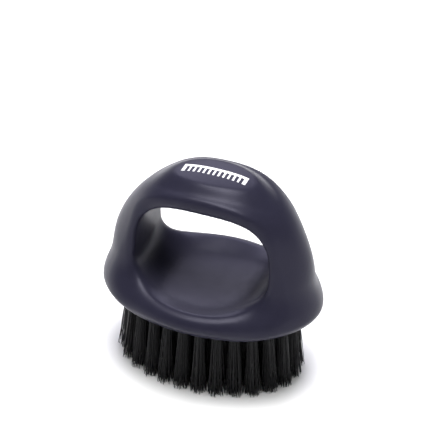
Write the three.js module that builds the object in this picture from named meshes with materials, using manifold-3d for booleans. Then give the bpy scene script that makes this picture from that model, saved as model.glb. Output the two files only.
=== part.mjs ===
// A hand-held brush for clearing cut hair. It has one moulded handle with an opening for three
// fingers, an oval plate let into the underside, and bristle tufts in rings.
// Millimetres, +Z up: X runs along the handle, Y across it, and the bristle tips stand on z = 0.

import * as THREE from "three";
import Module from "manifold-3d";
import { mergeVertices } from "three/addons/utils/BufferGeometryUtils.js";

const wasm = await Module();
wasm.setup();

// Base of the handle: an oval slab with a rounded rim and an undercut wall.
const BASE_HALF_LENGTH = 46;
const BASE_HALF_WIDTH = 33.5;
const BASE_POWER = 1.87;
const BASE_UNDERSIDE = 31;
const BASE_WIDEST = 37;
const BASE_UNDERCUT = 4.7;
const RIM_TOP = 41.4;
const RIM_ROUNDING = 5.7;

// Arch over the fingers: its outline in XZ, its half width at each height, and its rounded section.
const ARCH_HALF_LENGTH = 48.3;
const ARCH_FOOT = 33.2;
const ARCH_TOP = 93.8;
const ARCH_POWER = 2.39;
const ARCH_INSET = 0.8;
const LEG_HALF_WIDTH = 17.6;
const BAR_HALF_WIDTH = 19.8;
const BAR_START = 60;
const FOOT_HALF_WIDTH = 23;
const FLARE_START = 56.7;
const FLARE_POWER = 2.23;
const WAIST_HEIGHT = 80;
const WAIST_SPREAD = 7;
const WAIST_DEPTH = 3;
const ARCH_ROUNDING = 4;
const TOP_CROWN_RADIUS = 150;
const SHOULDER_HEIGHT = 59.5;
const SHOULDER_SPREAD = 20.5;
const SHOULDER_CURVATURE = 0.075;

// Oval pad that stands on the top of the arch.
const PAD_HEIGHT = 2.2;
const PAD_HALF_LENGTH = 28.1;
const PAD_HALF_WIDTH = 14.8;
const PAD_FLAT_SHARE = 0.6;

// Finger opening: half a superellipse above its middle and a flatter one below, with a dished floor.
const OPENING_HALF_LENGTH = 29.4;
const OPENING_MIDDLE = 55.3;
const OPENING_RISE = 26;
const OPENING_TOP_POWER = 3.2;
const OPENING_DROP = 14;
const OPENING_FLOOR_POWER = 2.44;
const DISH_DEPTH = 3.1;
const DISH_HALF_LENGTH = 33.4;
const DISH_HALF_WIDTH = 25.7;
const DISH_POWER = 5;
const MOUTH_FLARE = 0.3;
const MOUTH_HALF_WIDTH = 18;
const MOUTH_FADE = 15;

// Widths over which the parts of the handle blend into each other.
const FOOT_BLEND = 3;
const BASE_BLEND = 10.8;
const EDGE_BLEND = 4;

// Plate and tufts.
const GAP = 0.3;
const PLATE_HALF_LENGTH = 38.4;
const PLATE_HALF_WIDTH = 26.8;
const PLATE_THICKNESS = 4.4;
const HOLE_RADIUS = 2.1;
const HOLE_DEPTH = 3.6;
const TUFT_ROOT_RADIUS = 1.75;
const TUFT_TIP_RADIUS = 3.2;
const TUFT_SIDES = 8;
const TUFT_LEAN = 0.05;
const RINGS = [
  { name: "outer", halfLength: 35.8, halfWidth: 24.3, count: 26 },
  { name: "middle", halfLength: 28.0, halfWidth: 16.9, count: 18 },
  { name: "inner", halfLength: 19.8, halfWidth: 9.2, count: 10 },
];
const CENTRE_ROW = { count: 3, pitch: 8.6 };

// Mesh of the handle.
const CELL = 2.15;
const PROJECTION_STEPS = 4;

const handleMaterial = new THREE.MeshStandardMaterial({ color: 0x35353f, roughness: 0.5, metalness: 0 });
const plateMaterial = new THREE.MeshStandardMaterial({ color: 0x1d1d22, roughness: 0.6, metalness: 0 });
const bristleMaterial = new THREE.MeshStandardMaterial({ color: 0x141418, roughness: 0.45, metalness: 0 });

const clamp = THREE.MathUtils.clamp;

// Smallest and largest of two distances, with the crease rounded over a band of width k.
function smoothMin(a, b, k) {
  const h = clamp(0.5 + (0.5 * (b - a)) / k, 0, 1);
  return b * (1 - h) + a * h - k * h * (1 - h);
}

function smoothMax(a, b, k) {
  return -smoothMin(-a, -b, k);
}

// Distance from a superellipse with half axes a and b, exact to first order.
function superellipse(x, y, a, b, power) {
  const u = Math.max(Math.abs(x) / a, 1e-4);
  const v = Math.max(Math.abs(y) / b, 1e-4);
  const size = (u ** power + v ** power) ** (1 / power);
  const scale = size ** (1 - power);
  const slopeX = (scale * u ** (power - 1)) / a;
  const slopeY = (scale * v ** (power - 1)) / b;
  return (size - 1) / Math.hypot(slopeX, slopeY);
}

// Distance outside the finger opening: it flares towards its mouths, and its floor is dished.
function opening(x, y, z) {
  const aboveFloor = clamp(1 + (z - OPENING_MIDDLE) / MOUTH_FADE, 0, 1);
  const mouth = MOUTH_FLARE * aboveFloor * Math.min((y / MOUTH_HALF_WIDTH) ** 2, 1.5);
  if (z >= OPENING_MIDDLE) {
    const rise = z - OPENING_MIDDLE;
    return superellipse(x, rise, OPENING_HALF_LENGTH, OPENING_RISE, OPENING_TOP_POWER) - mouth;
  }
  const reach = Math.hypot(x / DISH_HALF_LENGTH, y / DISH_HALF_WIDTH);
  const drop = OPENING_DROP + DISH_DEPTH * clamp(1 - reach ** DISH_POWER, -0.6, 1);
  return superellipse(x, OPENING_MIDDLE - z, OPENING_HALF_LENGTH, drop, OPENING_FLOOR_POWER) - mouth;
}

// Largest of two distances, with the edge between their surfaces rounded to a radius.
function roundedMax(a, b, radius) {
  const corner = Math.hypot(Math.max(a + radius, 0), Math.max(b + radius, 0));
  return Math.min(Math.max(a, b), -radius) + corner;
}

// Half width of the arch: flared at the foot, waisted at the shoulder, and full at the bar.
function archHalfWidth(z) {
  const flare = clamp((FLARE_START - z) / (FLARE_START - ARCH_FOOT), 0, 1.2) ** FLARE_POWER;
  const foot = (FOOT_HALF_WIDTH - LEG_HALF_WIDTH) * flare;
  const bar = (BAR_HALF_WIDTH - LEG_HALF_WIDTH) * THREE.MathUtils.smoothstep(z, BAR_START, ARCH_TOP);
  const waist = WAIST_DEPTH * Math.exp(-(((z - WAIST_HEIGHT) / WAIST_SPREAD) ** 2));
  return LEG_HALF_WIDTH + foot + bar - waist;
}

// A broad strap bent into an arch, with an oval pad on top. Its outer face is crowned.
function arch(x, y, z) {
  const rise = Math.max(z - ARCH_FOOT, 0);
  const outline = superellipse(x, rise, ARCH_HALF_LENGTH, ARCH_TOP - ARCH_FOOT, ARCH_POWER);
  const shoulder = Math.exp(-(((z - SHOULDER_HEIGHT) / SHOULDER_SPREAD) ** 2));
  const bend = 1 / TOP_CROWN_RADIUS + SHOULDER_CURVATURE * shoulder;
  const reach = Math.hypot(x / PAD_HALF_LENGTH, y / PAD_HALF_WIDTH);
  const step = PAD_HEIGHT * THREE.MathUtils.smoothstep(reach, PAD_FLAT_SHARE, 1);
  const crown = (outline + (bend * y * y) / 2 + step) / Math.hypot(1, bend * y);
  return roundedMax(crown, Math.abs(y) - archHalfWidth(z), ARCH_ROUNDING);
}

// Distance from the side wall of the base, which draws in below its widest level.
function baseWall(x, y, z) {
  const below = clamp((BASE_WIDEST - z) / (BASE_WIDEST - BASE_UNDERSIDE), 0, 1);
  return superellipse(x, y, BASE_HALF_LENGTH, BASE_HALF_WIDTH, BASE_POWER) + BASE_UNDERCUT * below ** 2;
}

// Negative inside the handle. It is trimmed flat at BASE_UNDERSIDE afterwards.
function handleField(x, y, z) {
  const wall = baseWall(x, y, z);
  const base = roundedMax(wall, z - RIM_TOP, RIM_ROUNDING);
  const legs = smoothMax(arch(x, y, z), wall + ARCH_INSET, FOOT_BLEND);
  const cut = smoothMax(smoothMin(legs, base, BASE_BLEND), -opening(x, y, z), EDGE_BLEND);
  return Math.max(cut, BASE_UNDERSIDE - CELL - z);
}

// Moves a point onto the surface where the field is zero.
function project(field, point) {
  const step = 0.05;
  for (let i = 0; i < PROJECTION_STEPS; i++) {
    const here = field(point.x, point.y, point.z);
    const slope = new THREE.Vector3(
      field(point.x + step, point.y, point.z) - here,
      field(point.x, point.y + step, point.z) - here,
      field(point.x, point.y, point.z + step) - here,
    ).divideScalar(step);
    const shift = clamp(here / Math.max(slope.lengthSq(), 0.1), -CELL / 3, CELL / 3);
    point.addScaledVector(slope, -shift);
  }
  return point;
}

// Closed mesh of the surface where the field is zero: one vertex inside each grid cell that the
// surface crosses, and one quad across each grid edge that it crosses.
function surfaceNet(field, box, cell) {
  const size = box.getSize(new THREE.Vector3()).divideScalar(cell).ceil();
  const nx = size.x + 1;
  const ny = size.y + 1;
  const nz = size.z + 1;
  const values = new Float64Array(nx * ny * nz);
  const at = (i, j, k) => i + nx * (j + ny * k);
  const corner = (i, j, k) => new THREE.Vector3(i, j, k).multiplyScalar(cell).add(box.min);
  for (let k = 0; k < nz; k++) {
    for (let j = 0; j < ny; j++) {
      for (let i = 0; i < nx; i++) {
        const p = corner(i, j, k);
        values[at(i, j, k)] = field(p.x, p.y, p.z);
      }
    }
  }

  const positions = [];
  const vertexOf = new Int32Array(nx * ny * nz).fill(-1);
  const corners = [0, 1, 2, 3, 4, 5, 6, 7].map((n) => [n & 1, (n >> 1) & 1, n >> 2]);
  for (let k = 0; k < nz - 1; k++) {
    for (let j = 0; j < ny - 1; j++) {
      for (let i = 0; i < nx - 1; i++) {
        const crossing = cellCrossing(values, at, corners, i, j, k);
        if (!crossing) continue;
        const point = project(field, crossing.multiplyScalar(cell).add(box.min));
        point.clamp(corner(i + 0.05, j + 0.05, k + 0.05), corner(i + 0.95, j + 0.95, k + 0.95));
        vertexOf[at(i, j, k)] = positions.length / 3;
        positions.push(point.x, point.y, point.z);
      }
    }
  }

  const indices = [];
  const quad = (a, b, c, d, flip) => {
    indices.push(...(flip ? [a, c, b, a, d, c] : [a, b, c, a, c, d]));
  };
  for (let k = 1; k < nz - 1; k++) {
    for (let j = 1; j < ny - 1; j++) {
      for (let i = 1; i < nx - 1; i++) {
        const inside = values[at(i, j, k)] < 0;
        const cells = (di, dj, dk) => vertexOf[at(i - di, j - dj, k - dk)];
        if (inside !== values[at(i + 1, j, k)] < 0) {
          quad(cells(0, 1, 1), cells(0, 0, 1), cells(0, 0, 0), cells(0, 1, 0), !inside);
        }
        if (inside !== values[at(i, j + 1, k)] < 0) {
          quad(cells(1, 0, 1), cells(1, 0, 0), cells(0, 0, 0), cells(0, 0, 1), !inside);
        }
        if (inside !== values[at(i, j, k + 1)] < 0) {
          quad(cells(1, 1, 0), cells(0, 1, 0), cells(0, 0, 0), cells(1, 0, 0), !inside);
        }
      }
    }
  }
  const geometry = new THREE.BufferGeometry();
  geometry.setAttribute("position", new THREE.Float32BufferAttribute(positions, 3));
  geometry.setIndex(indices);
  return geometry;
}

// Mean of the points where the surface crosses one cell's twelve edges, in grid units.
function cellCrossing(values, at, corners, i, j, k) {
  const sum = new THREE.Vector3();
  let count = 0;
  for (const [x, y, z] of corners) {
    const start = values[at(i + x, j + y, k + z)];
    for (const [dx, dy, dz] of [[1, 0, 0], [0, 1, 0], [0, 0, 1]]) {
      if (x + dx > 1 || y + dy > 1 || z + dz > 1) continue;
      const end = values[at(i + x + dx, j + y + dy, k + z + dz)];
      if (start < 0 === end < 0) continue;
      const t = start / (start - end);
      sum.add(new THREE.Vector3(i + x + dx * t, j + y + dy * t, k + z + dz * t));
      count += 1;
    }
  }
  return count ? sum.divideScalar(count) : null;
}

// Closed solid of a geometry whose faces point out.
function solidOf(geometry) {
  const bare = geometry.clone();
  bare.deleteAttribute("normal");
  bare.deleteAttribute("uv");
  const merged = mergeVertices(bare, 1e-3);
  return new wasm.Manifold(
    new wasm.Mesh({
      numProp: 3,
      vertProperties: new Float32Array(merged.attributes.position.array),
      triVerts: new Uint32Array(merged.index.array),
    }),
  );
}

function geometryOf(solid) {
  const mesh = solid.getMesh();
  const geometry = new THREE.BufferGeometry();
  geometry.setAttribute("position", new THREE.BufferAttribute(mesh.vertProperties, 3));
  geometry.setIndex(new THREE.BufferAttribute(mesh.triVerts, 1));
  geometry.computeVertexNormals();
  return geometry;
}

function ovalPrism(halfLength, halfWidth, bottom, height) {
  const shape = new THREE.Shape().absellipse(0, 0, halfLength, halfWidth, 0, 2 * Math.PI);
  const prism = new THREE.ExtrudeGeometry(shape, { depth: height, bevelEnabled: false, curveSegments: 32 });
  return prism.translate(0, 0, bottom);
}

function makeHandle() {
  const margin = 2 * CELL;
  const reach = new THREE.Vector3(BASE_HALF_LENGTH + margin, BASE_HALF_WIDTH + margin, 0);
  const box = new THREE.Box3(
    new THREE.Vector3(-reach.x, -reach.y, BASE_UNDERSIDE - 2 * margin),
    new THREE.Vector3(reach.x, reach.y, ARCH_TOP + margin),
  );
  const body = solidOf(surfaceNet(handleField, box, CELL));
  const below = new THREE.BoxGeometry(2 * reach.x, 2 * reach.y, 4 * margin);
  below.translate(0, 0, BASE_UNDERSIDE - 2 * margin);
  const depth = PLATE_THICKNESS + GAP;
  const recess = ovalPrism(PLATE_HALF_LENGTH + GAP, PLATE_HALF_WIDTH + GAP, BASE_UNDERSIDE - depth, 2 * depth);
  return geometryOf(body.subtract(solidOf(below)).subtract(solidOf(recess)));
}

// Places at equal steps along an ellipse, the same after half a turn when the count is even.
function ellipsePlaces(halfLength, halfWidth, count) {
  const ellipse = new THREE.EllipseCurve(0, 0, halfLength, halfWidth);
  return ellipse.getSpacedPoints(count).slice(0, count);
}

function tuftPlaces() {
  const places = [];
  for (const ring of RINGS) {
    ellipsePlaces(ring.halfLength, ring.halfWidth, ring.count).forEach((place, i) => {
      places.push({ name: `tuft_${ring.name}_${String(i + 1).padStart(2, "0")}`, place });
    });
  }
  for (let i = 0; i < CENTRE_ROW.count; i++) {
    const x = (i - (CENTRE_ROW.count - 1) / 2) * CENTRE_ROW.pitch;
    places.push({ name: `tuft_centre_${String(i + 1).padStart(2, "0")}`, place: new THREE.Vector2(x, 0) });
  }
  return places;
}

function makePlate(places) {
  let plate = solidOf(ovalPrism(PLATE_HALF_LENGTH, PLATE_HALF_WIDTH, BASE_UNDERSIDE, PLATE_THICKNESS));
  for (const { place } of places) {
    const hole = new THREE.CylinderGeometry(HOLE_RADIUS, HOLE_RADIUS, 2 * HOLE_DEPTH, TUFT_SIDES);
    hole.rotateX(Math.PI / 2);
    hole.translate(place.x, place.y, BASE_UNDERSIDE);
    plate = plate.subtract(solidOf(hole));
  }
  return geometryOf(plate);
}

// One bundle: straight in its hole, then spreading to a flat trimmed end, and leaning outwards.
function makeTuft(place) {
  const top = HOLE_DEPTH - GAP;
  const length = BASE_UNDERSIDE;
  const middleRadius = TUFT_ROOT_RADIUS + (TUFT_TIP_RADIUS - TUFT_ROOT_RADIUS) * 0.45;
  const profile = [
    new THREE.Vector2(0, -length),
    new THREE.Vector2(TUFT_TIP_RADIUS, -length),
    new THREE.Vector2(middleRadius, -length / 2),
    new THREE.Vector2(TUFT_ROOT_RADIUS, 0),
    new THREE.Vector2(TUFT_ROOT_RADIUS, top),
    new THREE.Vector2(0, top),
  ];
  const tuft = new THREE.LatheGeometry(profile, TUFT_SIDES);
  tuft.rotateX(Math.PI / 2);
  const position = tuft.attributes.position;
  for (let i = 0; i < position.count; i++) {
    const down = Math.max(-position.getZ(i), 0) / length;
    position.setX(i, position.getX(i) + place.x * TUFT_LEAN * down);
    position.setY(i, position.getY(i) + place.y * TUFT_LEAN * down);
  }
  return tuft;
}

function namedMesh(name, geometry, material) {
  const mesh = new THREE.Mesh(geometry, material.clone());
  mesh.name = name;
  return mesh;
}

const group = new THREE.Group();
const places = tuftPlaces();
group.add(namedMesh("handle_shell", makeHandle(), handleMaterial));
group.add(namedMesh("bristle_plate", makePlate(places), plateMaterial));
for (const { name, place } of places) {
  const tuft = namedMesh(name, makeTuft(place), bristleMaterial);
  tuft.position.set(place.x, place.y, BASE_UNDERSIDE);
  group.add(tuft);
}

export default group;
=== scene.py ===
"""Looks of the fade brush: a fine skin for the handle, bristle bundles of single filaments, a printed mark,
and a plain studio. Lengths in the shape functions are millimetres; Blender objects are in metres."""
import math

import bpy
import numpy as np
from mathutils import Matrix, Vector


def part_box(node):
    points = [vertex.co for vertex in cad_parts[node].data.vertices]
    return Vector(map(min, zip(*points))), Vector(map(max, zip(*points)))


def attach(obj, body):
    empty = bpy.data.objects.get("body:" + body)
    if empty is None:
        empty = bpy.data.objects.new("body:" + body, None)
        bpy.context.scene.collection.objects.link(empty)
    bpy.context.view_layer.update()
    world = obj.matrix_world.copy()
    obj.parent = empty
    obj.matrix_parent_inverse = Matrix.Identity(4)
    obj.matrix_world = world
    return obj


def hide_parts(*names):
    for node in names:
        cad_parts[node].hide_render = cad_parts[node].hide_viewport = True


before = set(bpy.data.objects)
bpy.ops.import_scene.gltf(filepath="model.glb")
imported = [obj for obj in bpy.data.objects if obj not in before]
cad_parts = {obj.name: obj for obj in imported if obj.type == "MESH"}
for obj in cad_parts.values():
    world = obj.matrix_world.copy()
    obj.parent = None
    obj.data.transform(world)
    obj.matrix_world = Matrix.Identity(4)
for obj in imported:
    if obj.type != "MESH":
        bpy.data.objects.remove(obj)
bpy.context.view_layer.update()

MM = 0.001

# Base of the handle: an oval slab with a rounded rim and an undercut wall.
BASE_HALF_LENGTH = 46
BASE_HALF_WIDTH = 33.5
BASE_POWER = 1.87
BASE_UNDERSIDE = 31
BASE_WIDEST = 37
BASE_UNDERCUT = 4.7
RIM_TOP = 41.4
RIM_ROUNDING = 5.7

# Arch over the fingers: its outline in XZ, its half width at each height, and its rounded section.
ARCH_HALF_LENGTH = 48.3
ARCH_FOOT = 33.2
ARCH_TOP = 93.8
ARCH_POWER = 2.39
ARCH_INSET = 0.8
LEG_HALF_WIDTH = 17.6
BAR_HALF_WIDTH = 19.8
BAR_START = 60
FOOT_HALF_WIDTH = 23
FLARE_START = 56.7
FLARE_POWER = 2.23
WAIST_HEIGHT = 80
WAIST_SPREAD = 7
WAIST_DEPTH = 3
ARCH_ROUNDING = 4
TOP_CROWN_RADIUS = 150
SHOULDER_HEIGHT = 59.5
SHOULDER_SPREAD = 20.5
SHOULDER_CURVATURE = 0.075

# Oval pad that stands on the top of the arch.
PAD_HEIGHT = 2.2
PAD_HALF_LENGTH = 28.1
PAD_HALF_WIDTH = 14.8
PAD_FLAT_SHARE = 0.6

# Finger opening: half a superellipse above its middle and a flatter one below, with a dished floor.
OPENING_HALF_LENGTH = 29.4
OPENING_MIDDLE = 55.3
OPENING_RISE = 26
OPENING_TOP_POWER = 3.2
OPENING_DROP = 14
OPENING_FLOOR_POWER = 2.44
DISH_DEPTH = 3.1
DISH_HALF_LENGTH = 33.4
DISH_HALF_WIDTH = 25.7
DISH_POWER = 5
MOUTH_FLARE = 0.3
MOUTH_HALF_WIDTH = 18
MOUTH_FADE = 15
DISH_LIMIT = 0.6
MOUTH_LIMIT = 1.5
FLARE_LIMIT = 1.2

# Widths over which the parts of the handle blend into each other.
FOOT_BLEND = 3
BASE_BLEND = 10.8
EDGE_BLEND = 4

# Gap round the plate, how far a hole reaches into it, and how far a tip leans out for its distance
# from the middle.
PLATE_GAP = 0.3
HOLE_DEPTH = 3.6
TUFT_LEAN = 0.05

# Grid of the skin, and the rounding of the edges on the underside.
SKIN_CELL = 0.9
UNDERSIDE_EDGE = 0.9

# Camera: the direction it looks from, its distance, the width it sees there, and how far the middle of
# its picture lies to the right of and above the middle of the brush.
CAMERA_AZIMUTH = 20.6
CAMERA_ELEVATION = 35.9
CAMERA_ROLL = 1.17
CAMERA_DISTANCE = 1.119
CAMERA_WIDTH = 0.18
CAMERA_RIGHT = 0.0007
CAMERA_ABOVE = 0.0199
SENSOR_WIDTH = 36
CLIP_END = 50
BRUSH_MIDDLE = Vector((0, 0, 0.048))


def box_in_mm(name):
    return [np.array(corner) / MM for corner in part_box(name)]


def tuft_names():
    return sorted(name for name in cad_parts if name.startswith("tuft_"))


def smooth_min(a, b, k):
    h = np.clip(0.5 + 0.5 * (b - a) / k, 0, 1)
    return b * (1 - h) + a * h - k * h * (1 - h)


def smooth_max(a, b, k):
    return -smooth_min(-a, -b, k)


def smoothstep(x, low, high):
    t = np.clip((x - low) / (high - low), 0, 1)
    return t * t * (3 - 2 * t)


def superellipse(x, y, a, b, power):
    """Distance from a superellipse with half axes a and b, exact to first order."""
    u = np.maximum(np.abs(x) / a, 1e-4)
    v = np.maximum(np.abs(y) / b, 1e-4)
    size = (u**power + v**power) ** (1 / power)
    scale = size ** (1 - power)
    return (size - 1) / np.hypot(scale * u ** (power - 1) / a, scale * v ** (power - 1) / b)


def opening(x, y, z):
    """Distance outside the finger opening: it flares towards its mouths, and its floor is dished."""
    above = np.maximum(z - OPENING_MIDDLE, 0)
    below = np.maximum(OPENING_MIDDLE - z, 0)
    top = superellipse(x, above, OPENING_HALF_LENGTH, OPENING_RISE, OPENING_TOP_POWER)
    reach = np.hypot(x / DISH_HALF_LENGTH, y / DISH_HALF_WIDTH)
    drop = OPENING_DROP + DISH_DEPTH * np.clip(1 - reach**DISH_POWER, -DISH_LIMIT, 1)
    floor = superellipse(x, below, OPENING_HALF_LENGTH, drop, OPENING_FLOOR_POWER)
    above_floor = np.clip(1 + (z - OPENING_MIDDLE) / MOUTH_FADE, 0, 1)
    mouth = MOUTH_FLARE * above_floor * np.minimum((y / MOUTH_HALF_WIDTH) ** 2, MOUTH_LIMIT)
    return np.where(z >= OPENING_MIDDLE, top, floor) - mouth


def rounded_max(a, b, radius):
    """The larger of two distances, with the edge between their surfaces rounded to a radius."""
    corner = np.hypot(np.maximum(a + radius, 0), np.maximum(b + radius, 0))
    return np.minimum(np.maximum(a, b), -radius) + corner


def arch_half_width(z):
    """Half width of the arch: flared at the foot, waisted at the shoulder, and full at the bar."""
    flare = np.clip((FLARE_START - z) / (FLARE_START - ARCH_FOOT), 0, FLARE_LIMIT) ** FLARE_POWER
    foot = (FOOT_HALF_WIDTH - LEG_HALF_WIDTH) * flare
    bar = (BAR_HALF_WIDTH - LEG_HALF_WIDTH) * smoothstep(z, BAR_START, ARCH_TOP)
    waist = WAIST_DEPTH * np.exp(-(((z - WAIST_HEIGHT) / WAIST_SPREAD) ** 2))
    return LEG_HALF_WIDTH + foot + bar - waist


def arch(x, y, z):
    """A broad strap bent into an arch, with an oval pad on top. Its outer face is crowned."""
    rise = np.maximum(z - ARCH_FOOT, 0)
    outline = superellipse(x, rise, ARCH_HALF_LENGTH, ARCH_TOP - ARCH_FOOT, ARCH_POWER)
    shoulder = np.exp(-(((z - SHOULDER_HEIGHT) / SHOULDER_SPREAD) ** 2))
    bend = 1 / TOP_CROWN_RADIUS + SHOULDER_CURVATURE * shoulder
    reach = np.hypot(x / PAD_HALF_LENGTH, y / PAD_HALF_WIDTH)
    step = PAD_HEIGHT * smoothstep(reach, PAD_FLAT_SHARE, 1)
    crown = (outline + bend * y * y / 2 + step) / np.hypot(1, bend * y)
    return rounded_max(crown, np.abs(y) - arch_half_width(z), ARCH_ROUNDING)


def base_wall(x, y, z):
    below = np.clip((BASE_WIDEST - z) / (BASE_WIDEST - BASE_UNDERSIDE), 0, 1)
    return superellipse(x, y, BASE_HALF_LENGTH, BASE_HALF_WIDTH, BASE_POWER) + BASE_UNDERCUT * below**2


def recess(x, y, z):
    """Distance from the recess in the underside that the plate sits in."""
    low, high = box_in_mm("bristle_plate")
    half = (high - low) / 2 + PLATE_GAP
    side = superellipse(x, y, half[0], half[1], 2)
    return np.maximum(side, z - high[2] - PLATE_GAP)


def handle_field(x, y, z):
    """Negative inside the handle."""
    wall = base_wall(x, y, z)
    base = rounded_max(wall, z - RIM_TOP, RIM_ROUNDING)
    legs = smooth_max(arch(x, y, z), wall + ARCH_INSET, FOOT_BLEND)
    solid = smooth_min(legs, base, BASE_BLEND)
    cut = smooth_max(solid, -opening(x, y, z), EDGE_BLEND)
    trimmed = smooth_max(cut, BASE_UNDERSIDE - z, UNDERSIDE_EDGE)
    return smooth_max(trimmed, -recess(x, y, z), UNDERSIDE_EDGE / 2)


def gradient(field, points, step=0.02):
    x, y, z = points.T
    here = field(x, y, z)
    slope = np.stack(
        [field(x + step, y, z) - here, field(x, y + step, z) - here, field(x, y, z + step) - here],
        axis=1,
    )
    return here, slope / step


def project(field, points, limit, steps=5):
    """Moves points onto the surface where the field is zero."""
    for _ in range(steps):
        here, slope = gradient(field, points)
        shift = np.clip(here / np.maximum((slope**2).sum(1), 0.1), -limit, limit)
        points = points - slope * shift[:, None]
    return points


CORNERS = [(i, j, k) for i in (0, 1) for j in (0, 1) for k in (0, 1)]


def surface_net(field, low, high, cell):
    """Vertices and quads of the surface where the field is zero, one vertex in each cell it crosses."""
    axes = [np.arange(a, b + cell, cell) for a, b in zip(low, high)]
    grid = np.meshgrid(*axes, indexing="ij")
    value = field(*grid)
    inside = value < 0
    cells = tuple(n - 1 for n in value.shape)

    def shifted(array, offset):
        return array[tuple(slice(o, o + n) for o, n in zip(offset, cells))]

    total = np.zeros((*cells, 3))
    count = np.zeros(cells)
    for start in CORNERS:
        for axis in range(3):
            if start[axis]:
                continue
            end = tuple(o + (n == axis) for n, o in enumerate(start))
            a, b = shifted(value, start), shifted(value, end)
            crossing = (a < 0) != (b < 0)
            t = np.where(crossing, a / np.where(crossing, a - b, 1), 0)
            for n in range(3):
                total[..., n] += np.where(crossing, start[n] + t * (n == axis), 0)
            count += crossing
    active = count > 0
    index = np.full(cells, -1)
    index[active] = np.arange(active.sum())
    places = np.argwhere(active) + total[active] / count[active][:, None]
    points = project(field, np.array(low) + places * cell, cell / 3)

    quads = []
    for axis in range(3):
        u, v = [(1, 2), (2, 0), (0, 1)][axis]
        start = [slice(1, n) for n in cells]
        end = list(start)
        end[axis] = slice(2, cells[axis] + 1)
        a, b = inside[tuple(start)], inside[tuple(end)]
        place = np.argwhere(a != b) + 1
        back_u = np.zeros(3, int)
        back_v = np.zeros(3, int)
        back_u[u] = 1
        back_v[v] = 1
        ring = [
            index[tuple((place - s * back_u - t * back_v).T)]
            for s, t in ((1, 1), (0, 1), (0, 0), (1, 0))
        ]
        quad = np.stack(ring, axis=1)
        outward = a[a != b]
        quads.append(np.where(outward[:, None], quad, quad[:, ::-1]))
    return points, np.concatenate(quads)


def new_mesh(name, points, faces, smooth=True):
    """A new object from points in millimetres."""
    mesh = bpy.data.meshes.new(name)
    mesh.from_pydata((np.asarray(points) * MM).tolist(), [], [list(map(int, face)) for face in faces])
    mesh.update()
    if smooth:
        mesh.shade_smooth()
    piece = bpy.data.objects.new(name, mesh)
    bpy.context.scene.collection.objects.link(piece)
    return piece


def make_skin(material):
    margin = 2 * SKIN_CELL
    low = (-ARCH_HALF_LENGTH - margin, -BASE_HALF_WIDTH - margin, BASE_UNDERSIDE - margin)
    high = (ARCH_HALF_LENGTH + margin, BASE_HALF_WIDTH + margin, ARCH_TOP + margin)
    points, quads = surface_net(handle_field, low, high, SKIN_CELL)
    skin = new_mesh("handle_skin", points, quads)
    skin.data.materials.append(material)
    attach(skin, "root")
    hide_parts("handle_shell")
    return skin


# Bristles.
FILAMENTS = {"outer": 76, "middle": 60, "inner": 52, "centre": 52}
FILAMENT_SIDES = 6
FILAMENT_RINGS = 7
FILAMENT_ROOT_RADIUS = 0.17
FILAMENT_TIP_RADIUS = 0.12
BUNDLE_ROOT_RADIUS = 1.9
BUNDLE_TIP_RADIUS = 3.5
BUNDLE_SEED = 11
HOLE_END_GAP = 0.6
TIP_SCATTER = 0.32
TRIM_SHAPE = 1.6
TRIM_SCALE = 0.42
STRAIGHT_SHARE = 0.08
FALL_POWER = 1.2
BOW = 0.22
GOLDEN_ANGLE = math.pi * (3 - math.sqrt(5))


def between(start, end, share):
    """Points from each start to its end, one for each share of the way."""
    return start[:, None, :] * (1 - share)[None, :, None] + end[:, None, :] * share[None, :, None]


def filament_lines(count, root, tip, rng):
    """Centre lines of one bundle's filaments, as an array of filament, ring, coordinate."""
    n = np.arange(count)
    reach = np.sqrt((n + 0.5) / count)
    angle = n * GOLDEN_ANGLE + rng.uniform(0, 2 * math.pi)
    across = np.stack([np.cos(angle), np.sin(angle)], axis=1) * reach[:, None]
    top = BASE_UNDERSIDE + HOLE_DEPTH - HOLE_END_GAP
    start = np.column_stack([root + across * BUNDLE_ROOT_RADIUS, np.full(count, top)])
    spread = across * BUNDLE_TIP_RADIUS + rng.normal(0, TIP_SCATTER, (count, 2))
    end = np.column_stack([tip + spread, rng.gamma(TRIM_SHAPE, TRIM_SCALE, count)])
    t = np.linspace(0, 1, FILAMENT_RINGS)
    fall = np.clip((t - STRAIGHT_SHARE) / (1 - STRAIGHT_SHARE), 0, 1) ** FALL_POWER
    lines = between(start, end, t)
    lines[:, :, :2] = between(start[:, :2], end[:, :2], fall)
    bow = rng.normal(0, BOW, (count, 2))
    lines[:, :, :2] += bow[:, None, :] * np.sin(math.pi * fall)[None, :, None]
    return lines


def tubes(lines, root_radius, tip_radius, sides):
    """Points and faces of a closed tapered tube round each line. The lines run downwards."""
    count, rings, _ = lines.shape
    turn = np.linspace(0, 2 * math.pi, sides, endpoint=False)
    circle = np.column_stack([np.cos(turn), np.sin(turn), np.zeros(sides)])
    radius = np.linspace(root_radius, tip_radius, rings)
    points = lines[:, :, None, :] + circle[None, None, :, :] * radius[None, :, None, None]
    tube = np.arange(count)[:, None, None]
    ring = np.arange(rings - 1)[None, :, None]
    first = (tube * rings + ring) * sides
    side = np.arange(sides)[None, None, :]
    after = (side + 1) % sides
    below = first + sides
    quads = np.stack([first + after, first + side, below + side, below + after], axis=-1)
    faces = quads.reshape(-1, 4).tolist()
    for n in range(count):
        top = n * rings * sides
        bottom = top + (rings - 1) * sides
        faces.append(list(range(top, top + sides)))
        faces.append(list(range(bottom + sides - 1, bottom - 1, -1)))
    return points.reshape(-1, 3), faces


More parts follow.
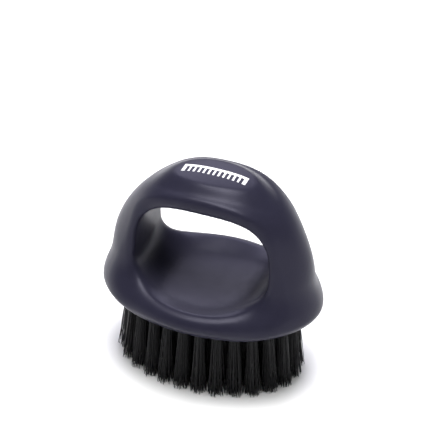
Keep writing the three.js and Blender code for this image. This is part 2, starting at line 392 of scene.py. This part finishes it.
def make_bundles(material):
    rng = np.random.default_rng(BUNDLE_SEED)
    for name in tuft_names():
        low, high = box_in_mm(name)
        tip = (low[:2] + high[:2]) / 2
        root = tip / (1 + TUFT_LEAN)
        ring = name.split("_")[1]
        lines = filament_lines(FILAMENTS[ring], root, tip, rng)
        points, faces = tubes(lines, FILAMENT_ROOT_RADIUS, FILAMENT_TIP_RADIUS, FILAMENT_SIDES)
        bundle = new_mesh(name.replace("tuft", "bundle"), points, faces)
        bundle.data.materials.append(material)
        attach(bundle, "root")
        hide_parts(name)


# The mark printed on the crown: a plain barber's comb.
COMB_LENGTH = 28
COMB_SPINE = 1.5
COMB_TOOTH = 3.6
COMB_TEETH = 11
COMB_TOOTH_SHARE = 0.4
PRINT_RISE = 0.04
PRINT_ROOT = 0.12
TOOTH_ROWS = 4
CROWN_STEPS = 30
CROWN_STEP_SHARE = 0.8


def comb_cells():
    """Column edges, row edges and the filled cells of a comb drawn on a grid."""
    guard = COMB_SPINE
    pitch = (COMB_LENGTH - 2 * guard) / (COMB_TEETH + 1 - COMB_TOOTH_SHARE)
    edges = [-COMB_LENGTH / 2, -COMB_LENGTH / 2 + guard]
    for tooth in range(COMB_TEETH):
        start = edges[1] + pitch * (tooth + 1 - COMB_TOOTH_SHARE)
        edges += [start, start + pitch * COMB_TOOTH_SHARE]
    edges += [COMB_LENGTH / 2 - guard, COMB_LENGTH / 2]
    height = COMB_SPINE + COMB_TOOTH
    rows = np.concatenate([
        np.linspace(-height / 2, -height / 2 + COMB_TOOTH, TOOTH_ROWS + 1),
        [height / 2 - COMB_SPINE / 2, height / 2],
    ])
    filled = np.ones((len(edges) - 1, len(rows) - 1), bool)
    filled[1:-1:2, :TOOTH_ROWS] = False
    return np.array(edges), rows, filled


def crown_height(x, y):
    """Height of the handle's top face above each point."""
    z = np.full(np.shape(x), float(ARCH_TOP))
    for _ in range(CROWN_STEPS):
        z = z - CROWN_STEP_SHARE * np.clip(handle_field(x, y, z), -1, 1)
    return z


def make_print(material):
    columns, rows, filled = comb_cells()
    grid_x, grid_y = np.meshgrid(columns, rows, indexing="ij")
    corner = np.arange(grid_x.size).reshape(grid_x.shape)
    flat = np.column_stack([grid_x.ravel(), grid_y.ravel()])
    height = crown_height(flat[:, 0], flat[:, 1])
    points = np.vstack([
        np.column_stack([flat, height + PRINT_RISE]),
        np.column_stack([flat, height - PRINT_ROOT]),
    ])
    below = grid_x.size
    padded = np.pad(filled, 1)
    faces = []
    for i, j in np.argwhere(filled):
        ring = [corner[i, j], corner[i + 1, j], corner[i + 1, j + 1], corner[i, j + 1]]
        faces.append(ring)
        faces.append([n + below for n in reversed(ring)])
        sides = [(0, -1), (1, 0), (0, 1), (-1, 0)]
        for n, (di, dj) in enumerate(sides):
            if not padded[i + 1 + di, j + 1 + dj]:
                a, b = ring[n], ring[(n + 1) % 4]
                faces.append([b, a, a + below, b + below])
    used = sorted({n for face in faces for n in face})
    renumber = {n: k for k, n in enumerate(used)}
    faces = [[renumber[n] for n in face] for face in faces]
    mark = new_mesh("crown_print", points[used], faces, smooth=False)
    mark.data.materials.append(material)
    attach(mark, "root")


# Anchors.
ANCHOR_SIZE = (2.2, 0.35, 1.4)
ANCHOR_HEIGHT = 33.4


def make_anchors(material):
    """The flat metal wedges that hold the bundles in their holes, one in each, as one piece."""
    points, faces = [], []
    half = np.array(ANCHOR_SIZE) / 2
    for name in tuft_names():
        low, high = box_in_mm(name)
        root = (low[:2] + high[:2]) / 2 / (1 + TUFT_LEAN)
        first = len(points)
        for sign in CORNERS:
            points.append(np.array([*root, ANCHOR_HEIGHT]) + (np.array(sign) * 2 - 1) * half)
        box = [(0, 1, 3, 2), (4, 6, 7, 5), (0, 4, 5, 1), (2, 3, 7, 6), (0, 2, 6, 4), (1, 5, 7, 3)]
        faces += [[first + n for n in face] for face in box]
    anchors = new_mesh("tuft_anchors", points, faces, smooth=False)
    anchors.data.materials.append(material)
    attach(anchors, "root")


# Materials: noises in the object's own metres.
BUMP_DETAIL = 4
MOTTLE_DETAIL = 3
MOTTLE_START = 0.3
MOTTLE_END = 0.7


def grey(value):
    return (value, value, value, 1)


def new_material(name):
    material = bpy.data.materials.new(name)
    material.use_nodes = True
    nodes = material.node_tree.nodes
    return material, nodes, material.node_tree.links, nodes["Principled BSDF"]


def add_bump(nodes, links, shader, scale, distance, strength):
    coordinates = nodes.new("ShaderNodeTexCoord")
    noise = nodes.new("ShaderNodeTexNoise")
    noise.inputs["Scale"].default_value = scale
    noise.inputs["Detail"].default_value = BUMP_DETAIL
    bump = nodes.new("ShaderNodeBump")
    bump.inputs["Distance"].default_value = distance
    bump.inputs["Strength"].default_value = strength
    links.new(coordinates.outputs["Object"], noise.inputs["Vector"])
    links.new(noise.outputs["Fac"], bump.inputs["Height"])
    links.new(bump.outputs["Normal"], shader.inputs["Normal"])
    return coordinates


def mottled(nodes, links, coordinates, scale, low, high, socket):
    """Drives a socket with a soft noise between two values or colours."""
    noise = nodes.new("ShaderNodeTexNoise")
    noise.inputs["Scale"].default_value = scale
    noise.inputs["Detail"].default_value = MOTTLE_DETAIL
    ramp = nodes.new("ShaderNodeValToRGB")
    ramp.color_ramp.elements[0].position = MOTTLE_START
    ramp.color_ramp.elements[1].position = MOTTLE_END
    ramp.color_ramp.elements[0].color = low
    ramp.color_ramp.elements[1].color = high
    links.new(coordinates.outputs["Object"], noise.inputs["Vector"])
    links.new(noise.outputs["Fac"], ramp.inputs["Fac"])
    links.new(ramp.outputs["Color"], socket)


def soft_touch_plastic():
    material, nodes, links, shader = new_material("soft_touch_charcoal")
    shader.inputs["IOR"].default_value = 1.24
    shader.inputs["Specular Tint"].default_value = (0.84, 0.82, 1.0, 1)
    coordinates = add_bump(nodes, links, shader, scale=5200, distance=0.00003, strength=0.35)
    dark = (0.0190, 0.0182, 0.0320, 1)
    light = (0.0210, 0.0202, 0.0350, 1)
    mottled(nodes, links, coordinates, 60, dark, light, shader.inputs["Base Color"])
    mottled(nodes, links, coordinates, 240, grey(0.31), grey(0.37), shader.inputs["Roughness"])
    return material


def black_nylon():
    material, nodes, links, shader = new_material("black_nylon")
    shader.inputs["IOR"].default_value = 1.53
    shader.inputs["Specular IOR Level"].default_value = 0.2
    coordinates = add_bump(nodes, links, shader, scale=3000, distance=0.00002, strength=0.2)
    dark = (0.0015, 0.0015, 0.0024, 1)
    light = (0.0042, 0.0042, 0.0060, 1)
    mottled(nodes, links, coordinates, 350, dark, light, shader.inputs["Base Color"])
    mottled(nodes, links, coordinates, 500, grey(0.34), grey(0.48), shader.inputs["Roughness"])
    return material


def black_plastic():
    material, nodes, links, shader = new_material("black_plastic")
    coordinates = add_bump(nodes, links, shader, scale=2400, distance=0.00004, strength=0.4)
    dark = (0.012, 0.012, 0.014, 1)
    light = (0.018, 0.018, 0.021, 1)
    mottled(nodes, links, coordinates, 90, dark, light, shader.inputs["Base Color"])
    mottled(nodes, links, coordinates, 300, grey(0.5), grey(0.62), shader.inputs["Roughness"])
    return material


def white_print():
    material, nodes, links, shader = new_material("white_print")
    coordinates = add_bump(nodes, links, shader, scale=4200, distance=0.00001, strength=0.3)
    mottled(nodes, links, coordinates, 900, grey(0.80), grey(0.88), shader.inputs["Base Color"])
    mottled(nodes, links, coordinates, 500, grey(0.45), grey(0.55), shader.inputs["Roughness"])
    return material


def brushed_steel():
    material, nodes, links, shader = new_material("brushed_steel")
    shader.inputs["Metallic"].default_value = 1
    coordinates = add_bump(nodes, links, shader, scale=5000, distance=0.00001, strength=0.4)
    dark = (0.52, 0.51, 0.49, 1)
    light = (0.62, 0.61, 0.60, 1)
    mottled(nodes, links, coordinates, 700, dark, light, shader.inputs["Base Color"])
    mottled(nodes, links, coordinates, 900, grey(0.28), grey(0.42), shader.inputs["Roughness"])
    return material


def pale_floor():
    material, _, _, shader = new_material("pale_floor")
    shader.inputs["Base Color"].default_value = grey(0.93)
    shader.inputs["Roughness"].default_value = 0.9
    shader.inputs["Specular IOR Level"].default_value = 0.1
    return material


def dress_plate(material):
    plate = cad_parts["bristle_plate"]
    for slot in plate.material_slots:
        slot.material = material


# Studio.
OVERHEAD_STRENGTH = 5.2
OVERHEAD_SPREAD = math.radians(40)
CARD_DIRECTION = Vector((-0.29, 0.76, 0.59))
CARD_DISTANCE = 1.6
CARD_SIZE = (1.3, 0.9)
CARD_POWER = 13.0
CARD_COLOUR = (0.84, 0.82, 1.0)
HORIZON_TOP = 0.52
HORIZON_EDGE = 0.56
ROOM_SHADE = 0.04
FLOOR_HALF_SIZE = 60000


def add_floor():
    edge = FLOOR_HALF_SIZE
    corners = [(-edge, -edge, 0), (edge, -edge, 0), (edge, edge, 0), (-edge, edge, 0)]
    floor = new_mesh("studio_floor", corners, [(0, 1, 2, 3)])
    floor.data.materials.append(pale_floor())


def add_lamp(light, place=(0, 0, 1)):
    lamp = bpy.data.objects.new(light.name, light)
    lamp.location = place
    lamp.rotation_mode = "QUATERNION"
    lamp.rotation_quaternion = (BRUSH_MIDDLE - Vector(place)).to_track_quat("-Z", "Y")
    lamp.visible_camera = False
    bpy.context.scene.collection.objects.link(lamp)


def add_lights():
    overhead = bpy.data.lights.new("overhead", "SUN")
    overhead.energy = OVERHEAD_STRENGTH
    overhead.angle = OVERHEAD_SPREAD
    add_lamp(overhead)
    card = bpy.data.lights.new("white_card", "AREA")
    card.shape = "RECTANGLE"
    card.size, card.size_y = CARD_SIZE
    card.energy = CARD_POWER
    card.color = CARD_COLOUR
    add_lamp(card, CARD_DIRECTION * CARD_DISTANCE)


def add_sky():
    """A dim room above a pale horizon."""
    world = bpy.data.worlds.new("studio")
    world.use_nodes = True
    nodes, links = world.node_tree.nodes, world.node_tree.links
    coordinates = nodes.new("ShaderNodeTexCoord")
    parts = nodes.new("ShaderNodeSeparateXYZ")
    place = nodes.new("ShaderNodeMapRange")
    place.inputs["From Min"].default_value = -1
    place.inputs["From Max"].default_value = 1
    ramp = nodes.new("ShaderNodeValToRGB")
    ramp.color_ramp.elements[0].position = HORIZON_TOP
    ramp.color_ramp.elements[0].color = grey(1)
    ramp.color_ramp.elements[1].position = HORIZON_EDGE
    ramp.color_ramp.elements[1].color = grey(ROOM_SHADE)
    links.new(coordinates.outputs["Generated"], parts.inputs["Vector"])
    links.new(parts.outputs["Z"], place.inputs["Value"])
    links.new(place.outputs["Result"], ramp.inputs["Fac"])
    links.new(ramp.outputs["Color"], nodes["Background"].inputs["Color"])
    bpy.context.scene.world = world


def add_camera():
    azimuth = math.radians(CAMERA_AZIMUTH)
    elevation = math.radians(CAMERA_ELEVATION)
    back = Vector((
        math.sin(azimuth) * math.cos(elevation),
        -math.cos(azimuth) * math.cos(elevation),
        math.sin(elevation),
    ))
    turn = Matrix.Rotation(math.radians(CAMERA_ROLL), 3, back)
    level = Vector((math.cos(azimuth), math.sin(azimuth), 0))
    right = turn @ level
    up = turn @ back.cross(level)
    place = BRUSH_MIDDLE + back * CAMERA_DISTANCE
    aim = BRUSH_MIDDLE + right * CAMERA_RIGHT + up * CAMERA_ABOVE
    backward = (place - aim).normalized()
    across = up.cross(backward).normalized()
    data = bpy.data.cameras.new("camera")
    data.sensor_width = SENSOR_WIDTH
    data.lens = data.sensor_width * CAMERA_DISTANCE / CAMERA_WIDTH
    data.clip_end = CLIP_END
    camera = bpy.data.objects.new("camera", data)
    columns = (across, backward.cross(across), backward)
    camera.matrix_world = Matrix.Translation(place) @ Matrix(columns).transposed().to_4x4()
    bpy.context.scene.collection.objects.link(camera)
    bpy.context.scene.camera = camera


bpy.context.scene.view_settings.view_transform = "Standard"
add_camera()
make_skin(soft_touch_plastic())
make_print(white_print())
make_bundles(black_nylon())
make_anchors(brushed_steel())
dress_plate(black_plastic())
add_floor()
add_lights()
add_sky()
